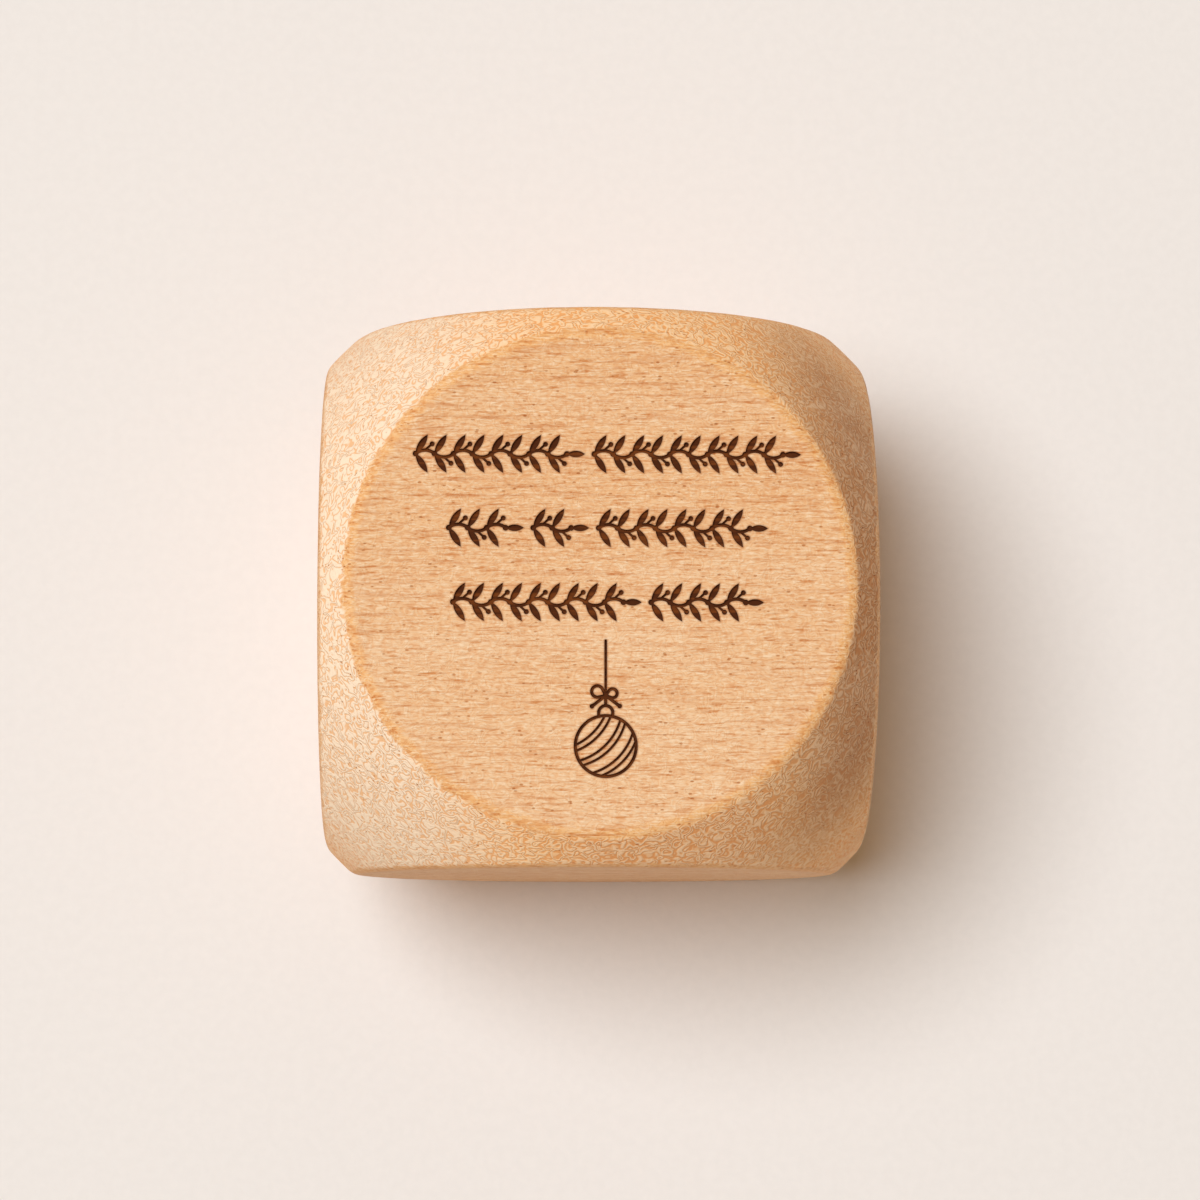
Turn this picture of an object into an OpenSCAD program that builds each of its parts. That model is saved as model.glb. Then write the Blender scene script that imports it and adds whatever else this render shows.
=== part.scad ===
// Wooden game die: a cube ground to a ball, so that each face is a flat disc,
// with leafy garlands and a tree bauble burnt into its top.
// Millimetres, +Z up, origin at the middle of the bottom disc, grain along X.

/* [Die] */
// Distance between opposite flat discs
edge = 30; // [16:0.5:50]
// Flat disc across, as a share of the edge
disc_share = 0.897; // [0.8:0.001:0.95]
// Radius that softens each disc's rim
rim_round = 1.1; // [0.3:0.05:2]

/* [Burnt drawing] */
// Depth of the burnt lines
burn_depth = 0.2; // [0.1:0.01:0.4]
// Shift of the garlands to the right of the disc's middle
garland_shift = 0.45; // [-1:0.05:1]
// Shift of the bauble to the right of the disc's middle
bauble_shift = 0.3; // [-1:0.05:1]

/* [Garlands] */
// Waves in each sprig of the first row
first_row = [8, 10]; // [2:1:12]
// Waves in each sprig of the second row
second_row = [3, 2, 8]; // [2:1:12]
// Waves in each sprig of the third row
third_row = [9, 5]; // [2:1:12]
// Height of the first row above the disc's middle
first_row_y = 6.78; // [5:0.02:8]
// Distance from one row to the next
row_pitch = 3.94; // [3:0.02:4.5]
// Length of one wave of the stem
wave_pitch = 1; // [0.9:0.01:1.1]
// Half the angle that one wave turns through
wave_turn = 40; // [20:1:60]
// Width of the stem's line
stem_line = 0.19; // [0.12:0.01:0.28]
// Gap between two sprigs
sprig_gap = 0.5; // [0.3:0.05:1]
// Length of a leaf
leaf_long = 1.2; // [0.8:0.05:1.4]
// Widest part of a leaf
leaf_wide = 0.36; // [0.24:0.01:0.5]
// Angle between leaf and stem
leaf_lean = 58; // [40:1:75]
// Bud at each leaf's foot, across
bud_across = 0.32; // [0.3:0.01:0.45]
// Berry across
berry_across = 0.28; // [0.2:0.01:0.4]
// Berry's stalk, from the crest of its wave
stalk_long = 0.5; // [0.4:0.01:0.6]
// Angle between stalk and stem
stalk_lean = 42; // [30:1:60]

/* [Bauble] */
// Bauble across, to the middle of its line
bauble_across = 3.2; // [2.4:0.05:3.8]
// Bauble's middle below the disc's middle
bauble_drop = 8.7; // [8:0.05:9]
// Width of the bauble's outline and bow
bauble_line = 0.18; // [0.12:0.01:0.26]
// Width of the bauble's stripes
stripe_line = 0.14; // [0.1:0.01:0.2]
// Distance between pairs of stripes
stripe_pitch = 0.93; // [0.8:0.01:1]
// Distance between the two stripes of a pair
stripe_gap = 0.32; // [0.26:0.01:0.4]
// Radius that the stripes bend to
stripe_radius = 3.2; // [2.4:0.1:6]
// Cap's arch across
cap_across = 0.74; // [0.5:0.02:1]
// Knot of the bow above the bauble's middle
knot_rise = 2.66; // [2.5:0.02:2.8]
// Width of the string
string_line = 0.15; // [0.1:0.01:0.2]
// Length of the string above the knot
string_long = 2.9; // [2:0.05:3]

/* [Hidden] */
half = edge / 2;
disc_radius = disc_share * half;
ball_radius = norm([half, disc_radius]);

// The rim circle crosses the ball and the disc by a hair, so that no two
// surfaces are exactly tangent.
hair = 0.002;
rim_z = half - rim_round + hair;
rim_r = sqrt(pow(ball_radius - rim_round + hair, 2) - pow(rim_z, 2));
// Height at which the rim circle leaves the ball
rim_foot = rim_z * ball_radius / (ball_radius - rim_round);

// The drawing's sizes are for a 30 mm die and follow the edge.
drawn_edge = 30;
drawing_scale = edge / drawn_edge;
cut_above = 1;

wave_radius = wave_pitch / (2 * sin(wave_turn));
wave_rise = wave_radius * (1 - cos(wave_turn));
// Stem arcs stop this many degrees short of a bud's middle, inside the bud
bud_margin = 3;
// A berry's stalk against the stem, and a sprig's last leaf against the others
stalk_share = 0.7;
tip_leaf_share = 0.8;
stalk_line = stem_line * stalk_share;
tip_leaf_long = leaf_long * tip_leaf_share;

bauble_radius = bauble_across / 2;
cap_radius = cap_across / 2;
cap_leg = 0.16;
// The cap's arch bends this far to each side, and its legs start at an angle inside it
arch_turn = 80;
leg_turn = 75;
leg_top = cap_radius * cos(leg_turn);
knot_across = 0.34;
// Each loop of the bow: its radius, its middle's distance from the knot, and
// its direction
left_loop = [0.3, 0.49, 154];
right_loop = [0.24, 0.38, 18];
// A loop's straight sides leave its circle this many degrees late, inside it
loop_margin = 5;
tail_long = 0.92;
tail_angles = [218, 323];
tail_dot = 0.26;
stripe_pairs = [-1, 0, 1];
stripe_shift = 0.12;
stripe_tilt = -45;

// Sides of the round shapes
ball_sides = 180;
ring_sides = 128;
leaf_sides = 96;
rim_sides = 64;
dot_sides = 32;

wood = [0.93, 0.74, 0.55];
burnt = [0.29, 0.13, 0.05];

// Disc-shaped slab: flat faces, rounded rims, and below the rims wider
// than the ball
module slab() {
    rotate_extrude($fn = ball_sides)
        intersection() {
            translate([0, -half])
                square([2 * ball_radius, edge]);
            union() {
                translate([0, -half])
                    square([rim_r, edge]);
                translate([0, -rim_foot])
                    square([2 * ball_radius, 2 * rim_foot]);
                for (side = [-1, 1])
                    translate([rim_r, side * rim_z])
                        circle(rim_round, $fn = rim_sides);
            }
        }
}

module blank() {
    intersection() {
        sphere(ball_radius, $fn = ball_sides);
        slab();
        rotate([90, 0, 0]) slab();
        rotate([0, 90, 0]) slab();
    }
}

module dot(across) {
    circle(across / 2, $fn = dot_sides);
}

// Straight line from the origin along an angle
module bar(long, wide, angle) {
    rotate(angle)
        translate([0, -wide / 2])
            square([long, wide]);
}

// Part of a ring about the origin, centred on an angle
module bow_line(radius, wide, angle, half_turn) {
    reach = 2 * radius + wide;
    rotate(angle)
        intersection() {
            difference() {
                circle(radius + wide / 2, $fn = ring_sides);
                circle(radius - wide / 2, $fn = ring_sides);
            }
            polygon([
                [0, 0],
                reach * [cos(half_turn), -sin(half_turn)],
                [reach, 0],
                reach * [cos(half_turn), sin(half_turn)]
            ]);
        }
}

// Pointed leaf from the origin along an angle: two circles overlapping
module leaf(long, wide, angle) {
    radius = (long * long + wide * wide) / (4 * wide);
    rotate(angle)
        translate([long / 2, 0])
            intersection() {
                translate([0, radius - wide / 2])
                    circle(radius, $fn = leaf_sides);
                translate([0, wide / 2 - radius])
                    circle(radius, $fn = leaf_sides);
            }
}

// One wave of a stem, bulging up (side 1) or down (side -1), with its berry
module wave(side) {
    translate([wave_pitch / 2, side * (wave_rise - wave_radius)])
        bow_line(wave_radius, stem_line, side * 90, wave_turn - bud_margin);
    translate([wave_pitch / 2, side * wave_rise]) {
        bar(stalk_long, stalk_line, side * stalk_lean);
        rotate(side * stalk_lean) translate([stalk_long, 0]) dot(berry_across);
    }
}

// Bud with a leaf to each side
module leaf_pair() {
    dot(bud_across);
    for (side = [-1, 1])
        leaf(leaf_long, leaf_wide, side * leaf_lean);
}

module sprig(waves) {
    for (i = [0 : waves - 1])
        translate([i * wave_pitch, 0]) {
            wave(i % 2 == 0 ? 1 : -1);
            leaf_pair();
        }
    translate([waves * wave_pitch, 0]) {
        dot(bud_across);
        leaf(tip_leaf_long, leaf_wide, 0);
    }
}

function total(list, count) = count == 0 ? 0 : list[count - 1] + total(list, count - 1);

// Start of one sprig of a row, counted from the row's start
function sprig_start(row, i) =
    total(row, i) * wave_pitch + i * (tip_leaf_long + sprig_gap);

module garland(row) {
    width = sprig_start(row, len(row)) - sprig_gap;
    for (i = [0 : len(row) - 1])
        translate([sprig_start(row, i) - width / 2, 0])
            sprig(row[i]);
}

module garlands() {
    rows = [first_row, second_row, third_row];
    for (i = [0 : len(rows) - 1])
        translate([garland_shift, first_row_y - i * row_pitch])
            garland(rows[i]);
}

// Solid teardrop: a circle with a point at a distance from its middle
module teardrop(radius, reach) {
    touch = acos(radius / reach) + loop_margin;
    circle(radius, $fn = rim_sides);
    polygon([
        [-reach, 0],
        radius * [-cos(touch), sin(touch)],
        [0, 0],
        radius * [-cos(touch), -sin(touch)]
    ]);
}

// Open loop of a bow, its point at the origin
module bow_loop(loop) {
    radius = loop[0];
    reach = loop[1];
    slack = bauble_line / 2 * reach / radius;
    rotate(loop[2])
        translate([reach, 0])
            difference() {
                teardrop(radius + bauble_line / 2, reach + slack);
                teardrop(radius - bauble_line / 2, reach - slack);
            }
}

module ribbon() {
    dot(knot_across);
    bow_loop(left_loop);
    bow_loop(right_loop);
    for (angle = tail_angles) {
        bar(tail_long, bauble_line, angle);
        rotate(angle) translate([tail_long, 0]) dot(tail_dot);
    }
    bar(string_long, string_line, 90);
    bar(knot_rise - bauble_radius - cap_radius - cap_leg, bauble_line, 270);
}

module cap() {
    translate([0, bauble_radius + cap_leg]) {
        bow_line(cap_radius, bauble_line, 90, arch_turn);
        for (side = [-1, 1])
            translate([side * cap_radius, leg_top])
                bar(leg_top + cap_leg + bauble_line / 2, bauble_line, 270);
    }
}

// Diagonal pairs of curved stripes, kept inside the bauble's outline
module stripes() {
    intersection() {
        circle(bauble_radius, $fn = ring_sides);
        rotate(stripe_tilt)
            for (pair = stripe_pairs, side = [-0.5, 0.5])
                translate([stripe_shift + pair * stripe_pitch + side * stripe_gap - stripe_radius, 0])
                    difference() {
                        circle(stripe_radius + stripe_line / 2, $fn = ring_sides);
                        circle(stripe_radius - stripe_line / 2, $fn = ring_sides);
                    }
    }
}

module bauble() {
    difference() {
        circle(bauble_radius + bauble_line / 2, $fn = ring_sides);
        circle(bauble_radius - bauble_line / 2, $fn = ring_sides);
    }
    stripes();
    cap();
    translate([0, knot_rise]) ribbon();
}

module drawing() {
    garlands();
    translate([bauble_shift, -bauble_drop]) bauble();
}

module die_body() {
    translate([0, 0, half])
        difference() {
            color(wood) blank();
            color(burnt)
                translate([0, 0, half - burn_depth])
                    linear_extrude(burn_depth + cut_above)
                        scale(drawing_scale) drawing();
        }
}

die_body();
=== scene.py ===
import math

import bmesh
import bpy
import numpy as np
from mathutils import Matrix, Vector
from mathutils.geometry import delaunay_2d_cdt


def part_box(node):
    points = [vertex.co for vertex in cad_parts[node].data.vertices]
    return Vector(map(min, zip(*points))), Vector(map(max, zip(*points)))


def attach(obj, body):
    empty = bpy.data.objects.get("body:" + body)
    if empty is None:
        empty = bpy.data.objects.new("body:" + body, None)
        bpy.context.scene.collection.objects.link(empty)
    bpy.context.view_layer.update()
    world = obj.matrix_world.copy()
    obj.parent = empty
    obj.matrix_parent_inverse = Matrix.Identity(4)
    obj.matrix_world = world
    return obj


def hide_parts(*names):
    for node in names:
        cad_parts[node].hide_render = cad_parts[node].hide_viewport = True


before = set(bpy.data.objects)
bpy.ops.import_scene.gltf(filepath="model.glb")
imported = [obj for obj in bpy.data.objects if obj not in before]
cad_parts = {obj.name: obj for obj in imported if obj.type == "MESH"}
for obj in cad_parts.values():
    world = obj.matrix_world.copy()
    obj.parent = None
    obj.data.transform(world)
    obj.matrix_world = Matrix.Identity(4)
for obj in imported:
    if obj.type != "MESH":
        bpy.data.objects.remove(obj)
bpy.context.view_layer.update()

mm = 0.001
low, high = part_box("die_body")
edge = (high[0] - low[0]) / mm          # from one flat disc to the opposite one, in mm
half = edge / 2


# A socket that does sums: an operator on it adds a Math node to its tree
class Wire:
    def __init__(self, tree, socket=None):
        self.tree = tree
        self.socket = socket

    # Adds one node: its settings first, then a value or a link for each socket
    def node(self, kind, settings, sockets, out=0):
        made = self.tree.nodes.new(kind)
        for name, value in settings.items():
            setattr(made, name, value)
        for name, value in sockets.items():
            if isinstance(value, Wire):
                self.tree.links.new(value.socket, made.inputs[name])
            else:
                made.inputs[name].default_value = value
        return Wire(self.tree, made.outputs[out] if made.outputs else None)

    # Another output of the node that this socket is on
    def other(self, name):
        return Wire(self.tree, self.socket.node.outputs[name])

    def maths(self, operation, *values):
        return self.node("ShaderNodeMath", {"operation": operation}, dict(enumerate(values)))

    def __add__(self, other):
        return self.maths("ADD", self, other)

    def __radd__(self, other):
        return self.maths("ADD", other, self)

    def __sub__(self, other):
        return self.maths("SUBTRACT", self, other)

    def __rsub__(self, other):
        return self.maths("SUBTRACT", other, self)

    def __mul__(self, other):
        return self.maths("MULTIPLY", self, other)

    def __rmul__(self, other):
        return self.maths("MULTIPLY", other, self)

    def __abs__(self):
        return self.maths("ABSOLUTE", self)

    # From 0 at one value of this socket to 1 at another, eased between them
    def ease(self, start, end):
        return self.node("ShaderNodeMapRange", {"interpolation_type": "SMOOTHSTEP"},
                         {"Value": self, "From Min": start, "From Max": end})

    # A colour that goes from one to another as this socket goes from 0 to 1
    def between(self, first, second):
        return self.node("ShaderNodeMix", {"data_type": "RGBA"}, {0: self, 6: first, 7: second}, out=2)

    # A colour that goes from one to its product with a tint as this socket goes from 0 to 1
    def tinting(self, colour, tint):
        return self.node("ShaderNodeMix", {"data_type": "RGBA", "blend_type": "MULTIPLY"},
                         {0: self, 6: colour, 7: tint}, out=2)

    # These coordinates, with so many noise waves or cells in a millimetre along X, Y and Z
    def perMm(self, x, y, z):
        return self.node("ShaderNodeMapping", {}, {"Vector": self, "Scale": (x / mm, y / mm, z / mm)})

    def noise(self, detail=1.0, twist=0.0):
        return self.node("ShaderNodeTexNoise", {}, {"Vector": self, "Scale": 1.0, "Detail": detail,
                                                    "Distortion": twist})

    # Distance from the middle of the nearest cell
    def cells(self):
        return self.node("ShaderNodeTexVoronoi", {}, {"Vector": self, "Scale": 1.0})


# A colour as picked on a screen, 0 to 255, turned into Blender's linear one
def screenColour(red, green, blue):
    share = np.array([red, green, blue]) / 255
    linear = np.where(share > 0.04045, ((share + 0.055) / 1.055) ** 2.4, share / 12.92)
    return (*linear.tolist(), 1.0)


die = {
    "discShare": 0.897,         # flat disc across, as a share of the edge
    "rimRound": 1.1,            # radius that softens each rim, mm
    "rimWander": 0.22,          # how far sanding by hand moves that radius, mm
    "rimWaves": 60,             # most waves of that wander round a rim
    "rimBand": 0.6,             # strip of a flat disc beside its rim, mm
    "tintBand": 1.6,            # how far in from the rim its warmer colour starts, mm
    "roundSteps": 320,          # points round a disc, a multiple of 8
    "rimSteps": 8,              # rings of faces over a rim
    "ballSteps": 12,            # and from there to the next face's share of the ball
    "sharpAngle": 30,           # two faces that meet at more than this show an edge, degrees
    "weld": 1e-4,               # points closer than this become one, mm
    "seed": 7,
}
discRadius = die["discShare"] * half
ballRadius = math.hypot(half, discRadius)
drawnRadius = discRadius - die["rimBand"]       # circle that the drawing lies inside
tintRadius = discRadius - die["tintBand"]
roundAngles = np.arange(die["roundSteps"]) * 2 * np.pi / die["roundSteps"]
aroundCircle = np.stack([np.cos(roundAngles), np.sin(roundAngles)], -1)


# Sum of cosines round the rim, each with its own turn and weaker the more waves it has, kept within -1 to 1
def rimWave(random):
    waveCount = np.arange(2, die["rimWaves"])[:, None]
    waves = np.cos(waveCount * roundAngles + random.uniform(0, 2 * np.pi, waveCount.shape))
    total = (waves * random.uniform(0.3, 1, waveCount.shape) / np.sqrt(waveCount)).sum(0)
    return total / np.abs(total).max()


# One face of the die outside its flat middle, as rings of points about +Z. Round the rim a point is the
# middle of the rim's circle plus its radius times (sin t, cos t). On the ball it is the ball's radius times
# (sin t, cos t), with t running to where the next face's share begins.
def faceRings(random, innerRadius):
    rimRadius = die["rimRound"] + die["rimWander"] * rimWave(random)
    rimHeight = half - rimRadius
    rimReach = np.sqrt((ballRadius - rimRadius) ** 2 - rimHeight ** 2)
    rimFoot = np.arctan2(rimReach, rimHeight)
    lastTurn = np.arctan(1 / np.abs(aroundCircle).max(-1))

    inner = np.full_like(rimReach, innerRadius)
    turn = np.linspace(0, 1, die["rimSteps"] + 1)[1:, None] * rimFoot
    reach = np.vstack([inner, rimReach, rimReach + rimRadius * np.sin(turn)])
    height = np.vstack([np.full((2, die["roundSteps"]), half), rimHeight + rimRadius * np.cos(turn)])
    turn = rimFoot + (lastTurn - rimFoot) * np.linspace(0, 1, die["ballSteps"] + 1)[1:, None]
    reach = np.vstack([reach, ballRadius * np.sin(turn)])
    height = np.vstack([height, ballRadius * np.cos(turn)])
    return np.dstack([reach[..., None] * aroundCircle, height])


# Rings of a flat disc, each a circle of the radius given, at the height of the disc
def discRings(radii):
    circles = radii[:, None, None] * aroundCircle
    return np.dstack([circles, np.full(circles.shape[:2], half)])


# Joins rings into four-sided faces, going round the same way as the angles
def ringFaces(ringCount):
    index = np.arange(ringCount * die["roundSteps"]).reshape(ringCount, -1)
    ahead = np.roll(index, -1, axis=1)
    return np.stack([index[:-1], index[1:], ahead[1:], ahead[:-1]], -1).reshape(-1, 4)


burn = {
    "drawnFor": 30,             # the drawing's sizes are for a die of this edge, mm
    "depth": 0.2,
    "wall": 0.045,              # width of a burnt line's sloping side, mm
    "scorch": 0.13,             # width of the browned strip beside a line, mm
    "pointStep": 0.08,          # distance between points of an outline, mm
    "weld": 1e-5,               # points of two outlines closer than this become one, mm
}
garland = {                     # mm and degrees
    "rows": [[8, 10], [3, 2, 8], [9, 5]],       # waves in each sprig
    "shift": 0.45,              # to the right of the disc's middle
    "firstRow": 6.78,           # above the disc's middle
    "rowPitch": 3.94,
    "wavePitch": 1.0,
    "waveTurn": 40,             # half the angle that a wave of the stem turns through
    "stemLine": 0.19,
    "stalkShare": 0.7,          # width of a berry's stalk, as a share of the stem's
    "sprigGap": 0.5,
    "leafLong": 1.2,
    "leafWide": 0.36,
    "leafLean": 58,
    "tipShare": 0.8,            # length of the leaf at a sprig's end, as a share of the others
    "bud": 0.32,
    "berry": 0.28,
    "stalkLong": 0.5,
    "stalkLean": 42,
}
bauble = {                      # mm and degrees
    "shift": 0.3,               # to the right of the disc's middle
    "drop": 8.7,                # below the disc's middle
    "across": 3.2,
    "line": 0.18,
    "stripePairs": [-1, 0, 1],
    "stripeLine": 0.14,
    "stripePitch": 0.93,        # from one pair of stripes to the next
    "stripeGap": 0.32,          # between the two stripes of a pair
    "stripeShift": 0.12,
    "stripeRadius": 3.2,
    "stripeTilt": -45,
    "capAcross": 0.74,
    "capLeg": 0.16,
    "archTurn": 80,             # the cap's arch bends this far to each side
    "legTurn": 75,              # and its legs start at this angle, inside it
    "knot": 0.34,
    "knotRise": 2.66,           # above the bauble's middle
    "stringLine": 0.15,
    "stringLong": 2.9,
    "loops": [(0.3, 0.49, 154), (0.24, 0.38, 18)],      # radius, reach and direction of the bow's loops
    "loopMargin": 5,            # a loop's sides leave its circle this much late
    "tailLong": 0.92,
    "tails": [218, 323],
    "tailDot": 0.26,
}


def along(angle, distance=1.0):
    turn = np.radians(angle)
    return distance * np.array([np.cos(turn), np.sin(turn)])


# The drawing is a list of strokes, each an arc, a bar or a leaf:
# an arc is its middle, radius, direction, half turn and half width; a bar is its two ends and half width;
# a leaf is its middle, direction, and the radius and offset of the two circles that overlap in it.
def barStroke(start, end, width):
    return ("bar", np.asarray(start, float), np.asarray(end, float), width / 2)


def dotStroke(place, across):
    return barStroke(place, place, across)


def arcStroke(middle, radius, direction, halfTurn, width):
    return ("arc", np.asarray(middle, float), radius, direction, halfTurn, width / 2)


def leafStroke(foot, direction, long, wide):
    radius = (long * long + wide * wide) / (4 * wide)
    return ("leaf", foot + along(direction, long / 2), direction, radius, radius - wide / 2)


def sprigStrokes(foot, waves):
    pitch, turn = garland["wavePitch"], garland["waveTurn"]
    radius = pitch / (2 * math.sin(math.radians(turn)))
    rise = radius * (1 - math.cos(math.radians(turn)))
    strokes = []
    for i in range(waves):
        side = 1 if i % 2 == 0 else -1
        bud = foot + [i * pitch, 0]
        crest = bud + [pitch / 2, side * rise]
        berry = crest + along(side * garland["stalkLean"], garland["stalkLong"])
        strokes.append(arcStroke(crest - [0, side * radius], radius, side * 90, turn, garland["stemLine"]))
        strokes.append(barStroke(crest, berry, garland["stemLine"] * garland["stalkShare"]))
        strokes.append(dotStroke(berry, garland["berry"]))
        strokes.append(dotStroke(bud, garland["bud"]))
        for lean in (-garland["leafLean"], garland["leafLean"]):
            strokes.append(leafStroke(bud, lean, garland["leafLong"], garland["leafWide"]))
    tip = foot + [waves * pitch, 0]
    strokes.append(dotStroke(tip, garland["bud"]))
    strokes.append(leafStroke(tip, 0, garland["leafLong"] * garland["tipShare"], garland["leafWide"]))
    return strokes


def garlandStrokes():
    tipLong = garland["leafLong"] * garland["tipShare"]
    strokes = []
    for i, row in enumerate(garland["rows"]):
        lengths = [waves * garland["wavePitch"] + tipLong + garland["sprigGap"] for waves in row]
        x = garland["shift"] - (sum(lengths) - garland["sprigGap"]) / 2
        y = garland["firstRow"] - i * garland["rowPitch"]
        for waves, length in zip(row, lengths):
            strokes += sprigStrokes(np.array([x, y]), waves)
            x += length
    return strokes


# Pairs of arcs of the stripes' radius, each cut off where it meets the bauble's outline
def stripeStrokes(middle, radius):
    bend = bauble["stripeRadius"]
    strokes = []
    for pair in bauble["stripePairs"]:
        for side in (-0.5, 0.5):
            place = bauble["stripeShift"] + pair * bauble["stripePitch"] + side * bauble["stripeGap"]
            back = bend - place
            halfTurn = math.degrees(math.acos((back ** 2 + bend ** 2 - radius ** 2) / (2 * back * bend)))
            strokes.append(arcStroke(middle - along(bauble["stripeTilt"], back), bend, bauble["stripeTilt"],
                                     halfTurn, bauble["stripeLine"]))
    return strokes


# A loop of the bow: most of a circle, and two straight sides to the knot
def loopStrokes(knot, radius, reach, direction):
    touch = math.degrees(math.acos(radius / reach)) + bauble["loopMargin"]
    middle = knot + along(direction, reach)
    sides = [middle + along(direction + turn, radius) for turn in (180 - touch, touch - 180)]
    return [arcStroke(middle, radius, direction, 180 - touch, bauble["line"])] + [
        barStroke(knot, side, bauble["line"]) for side in sides]


def baubleStrokes():
    line = bauble["line"]
    radius = bauble["across"] / 2
    capRadius = bauble["capAcross"] / 2
    middle = np.array([bauble["shift"], -bauble["drop"]])
    capMiddle = middle + [0, radius + bauble["capLeg"]]
    knot = middle + [0, bauble["knotRise"]]
    strokes = [arcStroke(middle, radius, 0, 180, line)] + stripeStrokes(middle, radius)
    legTop = capRadius * math.cos(math.radians(bauble["legTurn"]))
    strokes.append(arcStroke(capMiddle, capRadius, 90, bauble["archTurn"], line))
    for side in (-capRadius, capRadius):
        strokes.append(barStroke(capMiddle + [side, legTop], capMiddle + [side, -bauble["capLeg"]], line))
    strokes.append(dotStroke(knot, bauble["knot"]))
    for loop in bauble["loops"]:
        strokes += loopStrokes(knot, *loop)
    for direction in bauble["tails"]:
        end = knot + along(direction, bauble["tailLong"])
        strokes.append(barStroke(knot, end, line))
        strokes.append(dotStroke(end, bauble["tailDot"]))
    strokes.append(barStroke(knot, knot + [0, bauble["stringLong"]], bauble["stringLine"]))
    strokes.append(barStroke(knot, capMiddle + [0, capRadius], line))
    return strokes


# Points on an arc from one angle to another, both ends included
def arcPoints(middle, radius, start, end):
    count = max(4, math.ceil(abs(np.radians(end - start)) * radius / burn["pointStep"]))
    turn = np.radians(np.linspace(start, end, count + 1))
    return middle + radius * np.stack([np.cos(turn), np.sin(turn)], -1)


# Outlines of one stroke, moved outwards by a distance
def strokeLoops(stroke, grow):
    kind, middle = stroke[:2]
    if kind == "bar":
        end, width = stroke[2], stroke[3] + grow
        if np.allclose(middle, end):
            return [arcPoints(middle, width, 0, 360)[:-1]]
        heading = math.degrees(math.atan2(*(end - middle)[::-1]))
        return [np.vstack([arcPoints(middle, width, heading + 90, heading + 270),
                           arcPoints(end, width, heading - 90, heading + 90)])]
    if kind == "arc":
        radius, heading, turn, width = stroke[2:]
        width += grow
        if turn == 180:
            return [arcPoints(middle, radius + side * width, 0, 360)[:-1] for side in (-1, 1)]
        ends = [middle + along(heading + side * turn, radius) for side in (-1, 1)]
        return [np.vstack([arcPoints(middle, radius + width, heading - turn, heading + turn)[:-1],
                           arcPoints(ends[1], width, heading + turn, heading + turn + 180)[:-1],
                           arcPoints(middle, radius - width, heading + turn, heading - turn)[:-1],
                           arcPoints(ends[0], width, heading - turn + 180, heading - turn + 360)[:-1]])]
    heading, radius, offset = stroke[2:]
    reach = math.degrees(math.acos(offset / (radius + grow)))
    return [np.vstack([arcPoints(middle - along(heading + side, offset), radius + grow,
                                 heading + side - reach, heading + side + reach)[:-1] for side in (90, 270)])]


# Distance from each point to a stroke's edge, less than 0 inside it. A dot is a bar with no run.
def strokeDistance(stroke, points):
    kind, middle = stroke[:2]
    away = points - middle
    if kind == "bar":
        run = stroke[2] - middle
        share = np.clip(away @ run / max(run @ run, burn["weld"] ** 2), 0, 1)
        return np.linalg.norm(away - share[:, None] * run, axis=1) - stroke[3]
    if kind == "arc":
        radius, heading, turn, width = stroke[2:]
        gap = np.abs(np.linalg.norm(away, axis=1) - radius)
        if turn == 180:
            return gap - width
        ends = [np.linalg.norm(away - along(heading + side * turn, radius), axis=1) for side in (-1, 1)]
        beside = away @ along(heading) >= np.linalg.norm(away, axis=1) * math.cos(math.radians(turn))
        return np.where(beside, gap, np.minimum(*ends)) - width
    heading, radius, offset = stroke[2:]
    sides = [np.linalg.norm(away + along(heading + side, offset), axis=1) for side in (90, 270)]
    return np.maximum(*sides) - radius


def drawingDistance(strokes, points):
    distance = np.full(len(points), burn["scorch"])
    for stroke in strokes:
        np.minimum(distance, strokeDistance(stroke, points), out=distance)
    return distance


# The top disc inside a circle, cut into triangles along every outline of the drawing: the foot and the top of
# the lines' sloping sides, and one just inside the edge of the browned strip. A point's height is the disc's,
# less the burnt depth times how far down the line's sloping side the point is.
def drawnDisc(strokes, scale, circles):
    outlines = (-burn["wall"], 0, burn["scorch"] - burn["wall"] / 4)
    loops = [loop * scale for grow in outlines for stroke in strokes for loop in strokeLoops(stroke, grow)]
    loops += circles
    starts = np.cumsum([0] + [len(loop) for loop in loops])
    edges = np.vstack([np.column_stack([np.arange(a, b), np.roll(np.arange(a, b), -1)])
                       for a, b in zip(starts, starts[1:])])
    given = [Vector(point) for point in np.vstack(loops)]
    found, _, triangles = delaunay_2d_cdt(given, edges.tolist(), [], 0, burn["weld"])[:3]
    flat = np.array([point[:] for point in found])
    down = np.clip(-drawingDistance(strokes, flat / scale) / burn["wall"], 0, 1)
    return np.column_stack([flat, half - burn["depth"] * scale * down]), np.array(triangles)


# The plain flat disc: rings, and a fan of triangles about a last point in its middle
def plainDisc(radii):
    rings = discRings(radii)
    ahead = (np.arange(die["roundSteps"]) + 1) % die["roundSteps"]
    fan = np.column_stack([np.full_like(ahead, rings.size // 3), np.arange(die["roundSteps"]), ahead])
    return np.vstack([rings.reshape(-1, 3), [[0, 0, half]]]), ringFaces(len(rings)), fan


print("drawing the burnt lines")
drawingScale = edge / burn["drawnFor"]
strokes = garlandStrokes() + baubleStrokes()
random = np.random.default_rng(die["seed"])
faceTurns = [Matrix.Identity(3), Matrix.Rotation(math.pi, 3, "X")]      # top, bottom, then the sides
faceTurns += [Matrix.Rotation(side * math.pi / 2, 3, axis) for axis in "XY" for side in (1, -1)]

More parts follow.
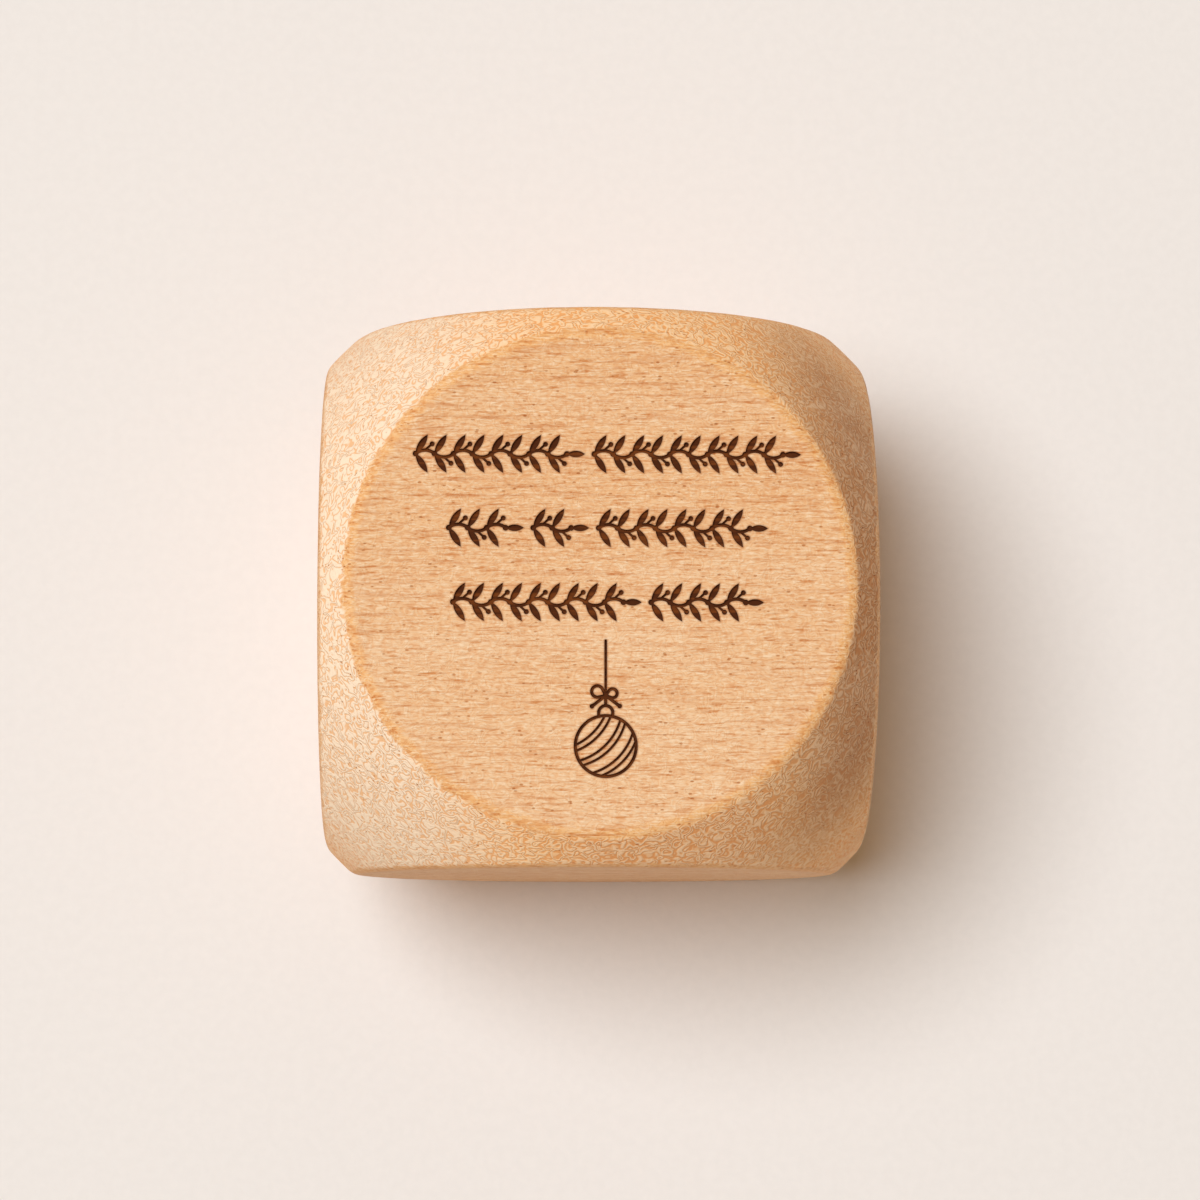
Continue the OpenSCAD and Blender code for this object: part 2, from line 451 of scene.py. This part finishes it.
print("turning the die")
points, faces, count = [], [], 0
for i, turn in enumerate(faceTurns):
    rings = faceRings(random, drawnRadius)
    if i == 0:
        circles = [radius * aroundCircle for radius in (tintRadius, drawnRadius)]
        pieces = [drawnDisc(strokes, drawingScale, circles)]
    else:
        pieces = [plainDisc(np.array([tintRadius / 3, tintRadius * 2 / 3, tintRadius, drawnRadius]))]
    pieces.append((rings.reshape(-1, 3), ringFaces(len(rings))))
    for places, *corners in pieces:
        points.append(places @ np.array(turn).T + [0, 0, half])
        faces += [face for group in corners for face in (group + count).tolist()]
        count += len(places)

mesh = bpy.data.meshes.new("turned_die")
mesh.from_pydata(np.vstack(points) * mm, [], faces)
skin = bmesh.new()
skin.from_mesh(mesh)
bmesh.ops.remove_doubles(skin, verts=skin.verts, dist=die["weld"] * mm)
bmesh.ops.recalc_face_normals(skin, faces=skin.faces)
print("open edges", sum(not e.is_manifold for e in skin.edges), "faces", len(skin.faces),
      "triangles", sum(len(f.verts) - 2 for f in skin.faces), "volume cm3", skin.calc_volume() * 1e6)
skin.to_mesh(mesh)
skin.free()
mesh.shade_smooth()
mesh.set_sharp_from_angle(angle=math.radians(die["sharpAngle"]))

dieBody = bpy.data.objects.new("turned_die", mesh)
bpy.context.scene.collection.objects.link(dieBody)
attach(dieBody, "root")
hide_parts("die_body")

# Two values at each point, in mm: the distance to the nearest burnt line's edge, less than 0 inside it, and
# how far outside the disc's rim the point lies, measured from the axis through the nearest disc
places = np.empty(len(mesh.vertices) * 3)
mesh.vertices.foreach_get("co", places)
places = places.reshape(-1, 3) / mm - [0, 0, half]
deepest = burn["depth"] * drawingScale * 1.01       # a hair past the floor of the lines
drawn = (places[:, 2] > half - deepest) & (np.hypot(*places[:, :2].T) < discRadius)
lineDistance = np.full(len(places), burn["scorch"])
lineDistance[drawn] = drawingDistance(strokes, places[drawn][:, :2] / drawingScale)
fromAxis = np.sqrt((places ** 2).sum(1) - (places ** 2).max(1))
rimPlace = np.maximum(fromAxis - discRadius, -die["tintBand"])
for name, values in (("lineDistance", lineDistance), ("rimPlace", rimPlace)):
    mesh.attributes.new(name, "FLOAT", "POINT").data.foreach_set("value", values)


beech = {
    "tones": {
        "disc": (236, 183, 128),
        "endDisc": (226, 180, 134),     # discs that face along X and show end grain
        "ball": (254, 200, 140),
        "litBall": (255, 225, 192),    # painted light and sheen on the upper ball towards -X, the window's side
        "shadedBall": (188, 135, 90),     # painted shade on the upper ball towards +X, away from the window
        "pale": (255, 228, 192),
        "rim": (243, 184, 116),
        "char": (78, 34, 4),
        "ember": (142, 72, 20),
    },
    "tints": {                          # what darker strokes do to the colour under them
        "dash": (222, 178, 132),
        # dark side of the curls, partly painted shade
        "curl": (244, 214, 182),
        "pore": (214, 172, 130),
        "layer": (226, 190, 150),
        "frontSheen": (240, 237, 243),       # painted sheen, a cooler and slightly darker cast on the upper ball towards -Y
    },
    "waves": {                          # noise waves or cells in a mm along X, Y and Z
        "wobble": (1.4, 1.4, 1.4),      # how the rim's colours wander
        "wide": (0.05, 0.35, 0.35),     # broad paler bands
        "patch": (0.4, 1.3, 1.3),       # where pores gather
        "fine": (2.2, 10.5, 10.5),      # short thin dashes, pale and dark
        "grain": (0.6, 6.0, 6.0),       # longer dark dashes
        "streak": (0.15, 3.6, 3.6),     # long faint streaks, which show in the char too
        "curl": (1.5, 1.6, 2.2),        # cut fibre, its pale and dark lines partly painted highlight and shade
        "pore": (1.8, 4.2, 4.2),
        "layer": (0.02, 0.07, 1.0),     # growth layers on the side discs
    },
    "strength": {                       # how much of each is mixed in, 0 to 1
        "wide": 0.12,
        "near": 0.16,
        "rim": 0.75,
        "paleDash": 0.35,
        "paleCurl": 0.32,
        "paleCurlLoss": 0.14,           # how much fainter the curls' painted highlights are on the painted shaded side of the ball
        "darkCurlLoss": 0.4,
        "streak": 0.3,
        "dash": 0.8,
        "pore": 0.9,
        "scorch": 0.5,
    },
    "curlWinds": 37,                    # radians that the curls wind through over the whole noise
    "wander": 0.6,                      # how far the rim's colours wander, mm
    "fade": 12,                         # discs grow paler from this far towards +Y to as far towards -Y, mm
    "rough": 0.6,
    "charRough": 0.3,                   # how much rougher the char is
    "gloss": 0.2,
    "relief": 0.02,                     # height of the cut fibres, mm
}


def newMaterial(name):
    made = bpy.data.materials.new(name)
    made.use_nodes = True
    made.node_tree.nodes.clear()
    return made, Wire(made.node_tree)


def finishMaterial(start, sockets):
    shader = start.node("ShaderNodeBsdfPrincipled", {}, sockets)
    start.node("ShaderNodeOutputMaterial", {}, {"Surface": shader})


# Sanded beech with its fibres along X and its growth layers level. The flat discs show thin dashes, the ball
# shows curled strokes of cut fibre and pores, the rim is warmer, and the drawing is char.
# The upper ball has painted light and sheen towards -X, painted shade towards +X and a painted sheen at the
# front, and the curls' pale and dark lines are partly painted highlight and shade.
def beechMaterial():
    made, start = newMaterial("beech")
    tone = {name: screenColour(*value) for name, value in beech["tones"].items()}
    tint = {name: screenColour(*value) for name, value in beech["tints"].items()}
    waves, strength = beech["waves"], beech["strength"]
    place = start.node("ShaderNodeTexCoord", {}, {}, out="Object")
    facing = start.node("ShaderNodeSeparateXYZ", {}, {"Vector": place.other("Normal")})
    upward = facing.other("Z")
    fade = beech["fade"] * mm
    near = start.node("ShaderNodeSeparateXYZ", {}, {"Vector": place}, out="Y").ease(fade, -fade)

    # Where the wood is ball, flat disc, rim, or a disc of end grain
    rimPlace = start.node("ShaderNodeAttribute", {"attribute_name": "rimPlace"}, {}, out="Fac")
    wobble = place.perMm(*waves["wobble"]).noise(2.0) - 0.5
    ragged = rimPlace + wobble * beech["wander"]
    onBall = ragged.ease(0.05, 0.25)
    onDisc = 1 - onBall
    end = abs(facing).ease(0.75, 0.92)
    rim = ragged.ease(-0.6, -0.2) * onDisc * (1 - end * 0.6)

    # Where the upper ball gets painted light and sheen towards -X, painted shade towards +X, and a painted
    # sheen, slightly darker and cooler, at the front
    crown = upward.ease(0.3, 0.62)
    pale = facing.ease(-0.1, -0.55) * upward.ease(0.0, 0.4)
    shadedSide = facing.ease(0.3, 0.7) * crown
    # painted sheen at the front of the upper ball
    frontSheen = facing.other("Y").ease(-0.45, -0.62) * facing.ease(-0.25, 0.05) * facing.ease(0.55, 0.35) * crown

    wide = place.perMm(*waves["wide"]).noise(2.0)
    patch = place.perMm(*waves["patch"]).noise()
    fine = place.perMm(*waves["fine"]).noise(2.0, 0.6)
    grain = place.perMm(*waves["grain"]).noise(1.5, 0.4)
    streak = place.perMm(*waves["streak"]).noise(2.0, 0.3)
    contours = start.maths("SINE", place.perMm(*waves["curl"]).noise(1.0, 0.5) * beech["curlWinds"])
    pore = place.perMm(*waves["pore"]).cells()
    layer = place.perMm(*waves["layer"]).noise(3.0)

    dash = (fine.ease(0.54, 0.62) * 0.5 + grain.ease(0.58, 0.66) * 0.7) * onDisc
    paleDash = fine.ease(0.47, 0.39) * onDisc
    # Each curl is a pale line with a dark one beside it: fibre colour, partly painted highlight on the raised
    # side and painted shade beside it
    curled = 0.3 + onBall * 0.7
    paleCurl = contours.ease(0.2, 0.9) * curled
    darkCurl = contours.ease(-0.2, -0.9) * curled
    dot = pore.ease(0.23, 0.11) * patch.ease(0.45, 0.6)
    layered = layer.ease(0.45, 0.62) * abs(upward).ease(0.45, 0.2) * (0.5 - onBall * 0.35)

    # the ball's own tone, then painted light towards -X, painted shade towards +X and a painted sheen at the
    # front
    ball = pale.between(tone["ball"], tone["litBall"])
    ball = shadedSide.between(ball, tone["shadedBall"])
    ball = frontSheen.tinting(ball, tint["frontSheen"])
    colour = onBall.between(end.between(tone["disc"], tone["endDisc"]), ball)
    colour = layered.tinting(colour, tint["layer"])
    bands = wide.ease(0.4, 0.7) * strength["wide"] + near * strength["near"] * onDisc
    colour = bands.between(colour, tone["pale"])
    colour = (rim * strength["rim"]).between(colour, tone["rim"])
    # the curls' painted highlights fade where the ball has painted shade
    curls = paleCurl * (strength["paleCurl"] - shadedSide * strength["paleCurlLoss"])
    colour = (paleDash * strength["paleDash"] + curls).between(colour, tone["pale"])
    colour = (streak.ease(0.5, 0.66) * strength["streak"] * onDisc).tinting(colour, tint["dash"])
    colour = (dash * strength["dash"]).tinting(colour, tint["dash"])
    # dark curls, partly painted shade, weaker where the ball has painted shade
    colour = (darkCurl * (1 - shadedSide * strength["darkCurlLoss"])).tinting(colour, tint["curl"])
    colour = (dot * strength["pore"]).tinting(colour, tint["pore"])

    line = start.node("ShaderNodeAttribute", {"attribute_name": "lineDistance"}, {}, out="Fac")
    scorched = line.ease(burn["scorch"], 0.0)
    burnt = line.ease(0.01, -0.03)      # from the line's edge to a little way down its side
    colour = (scorched * scorched * strength["scorch"]).between(colour, tone["ember"])
    char = (streak.ease(0.45, 0.65) * 0.5).between(tone["char"], tone["ember"])
    colour = burnt.between(colour, char)

    relief = (paleCurl - darkCurl) * 0.6 + (paleDash - dash) * 0.35 - dot
    bump = start.node("ShaderNodeBump", {}, {"Distance": mm, "Height": relief * beech["relief"]})
    finishMaterial(start, {"Base Color": colour, "Roughness": beech["rough"] + burnt * beech["charRough"],
                           "Specular IOR Level": beech["gloss"], "Normal": bump})
    return made


paper = {
    "colour": (238, 229, 219),
    "shade": (236, 227, 217),
    "waves": 1.6,               # noise waves in a mm
    "relief": 0.02,             # height of the paper's tooth, mm
    "rough": 0.9,
    "reach": 2.0,               # to each side, m
}


def paperMaterial():
    made, start = newMaterial("cream_paper")
    place = start.node("ShaderNodeTexCoord", {}, {}, out="Object")
    tooth = place.perMm(*[paper["waves"]] * 3).noise(4.0)
    colour = tooth.ease(0.3, 0.7).between(screenColour(*paper["colour"]), screenColour(*paper["shade"]))
    bump = start.node("ShaderNodeBump", {}, {"Distance": mm, "Height": tooth * paper["relief"]})
    finishMaterial(start, {"Base Color": colour, "Roughness": paper["rough"], "Normal": bump})
    return made


print("mixing the materials")
mesh.materials.append(beechMaterial())

print("laying the floor and setting the lights")
floorMesh = bpy.data.meshes.new("floor")
floorCorners = np.array([(-1, -1, 0), (1, -1, 0), (1, 1, 0), (-1, 1, 0)]) * paper["reach"]
floorMesh.from_pydata(floorCorners, [], [(0, 1, 2, 3)])
floorMesh.materials.append(paperMaterial())
floor = bpy.data.objects.new("floor", floorMesh)
bpy.context.scene.collection.objects.link(floor)

light = {
    "direction": 155,           # where the window stands, degrees from +X
    "height": 70,               # above the horizon, degrees
    "distance": 3.0,            # m
    "size": 1.75,               # m across
    "power": 96.5,              # W
    "colour": (0.815, 0.895, 1.0),
    "fill": 0.24,               # light of the room from all round
    "fillColour": (1.0, 0.71, 0.4),
    "backdrop": (247, 239, 230),
}


# A lamp or a camera at a place, looking at another, with +Y upwards in its picture
def looking(made, place, target):
    back = (Vector(place) - Vector(target)).normalized()
    right = Vector((0, 1, 0)).cross(back).normalized()
    aim = Matrix((right, back.cross(right), back)).transposed().to_4x4()
    made.matrix_world = Matrix.Translation(place) @ aim
    bpy.context.scene.collection.objects.link(made)
    return made


def windowLight():
    turn, rise = math.radians(light["direction"]), math.radians(light["height"])
    place = Vector((math.cos(turn) * math.cos(rise), math.sin(turn) * math.cos(rise), math.sin(rise)))
    lamp = bpy.data.lights.new("window", "AREA")
    lamp.shape = "DISK"
    lamp.size = light["size"]
    lamp.energy = light["power"]
    lamp.color = light["colour"]
    looking(bpy.data.objects.new("window", lamp), place * light["distance"], (0, 0, half * mm))


# Warm light from all round the room, while the camera and reflections see a pale backdrop at full strength
def roomLight():
    world = bpy.data.worlds.new("room")
    world.use_nodes = True
    world.node_tree.nodes.clear()
    start = Wire(world.node_tree)
    ray = start.node("ShaderNodeLightPath", {}, {}, out="Is Camera Ray")
    shown = (ray + ray.other("Is Glossy Ray") + ray.other("Is Transmission Ray")).ease(0.0, 1.0)
    colour = shown.between((*light["fillColour"], 1.0), screenColour(*light["backdrop"]))
    room = start.node("ShaderNodeBackground", {}, {"Color": colour,
                                                   "Strength": light["fill"] + shown * (1 - light["fill"])})
    start.node("ShaderNodeOutputWorld", {}, {"Surface": room})
    bpy.context.scene.world = world


windowLight()
roomLight()

view = {
    "distance": 0.225,          # from the die's middle, m
    "tilt": 5.6,                # towards the viewer, degrees
    "lean": -1.3,               # towards -X, degrees
    "aim": (0.00036, 0.00052),  # beside the die's middle, m
    "focal": 119.4,             # mm
    "sensor": 36,               # mm across
    "nearest": 0.01,            # closest thing that it shows, m
}
tilt, lean = math.radians(view["tilt"]), math.radians(view["lean"])
middle = Vector((0, 0, half * mm))
eye = Vector((math.sin(lean) * math.cos(tilt), -math.sin(tilt), math.cos(lean) * math.cos(tilt)))
camera = bpy.data.cameras.new("camera")
camera.lens = view["focal"]
camera.sensor_width = view["sensor"]
camera.clip_start = view["nearest"]
bpy.context.scene.camera = looking(bpy.data.objects.new("camera", camera), middle + eye * view["distance"],
                                   middle + Vector((*view["aim"], 0)))
bpy.context.scene.view_settings.view_transform = "Standard"

print("finished")
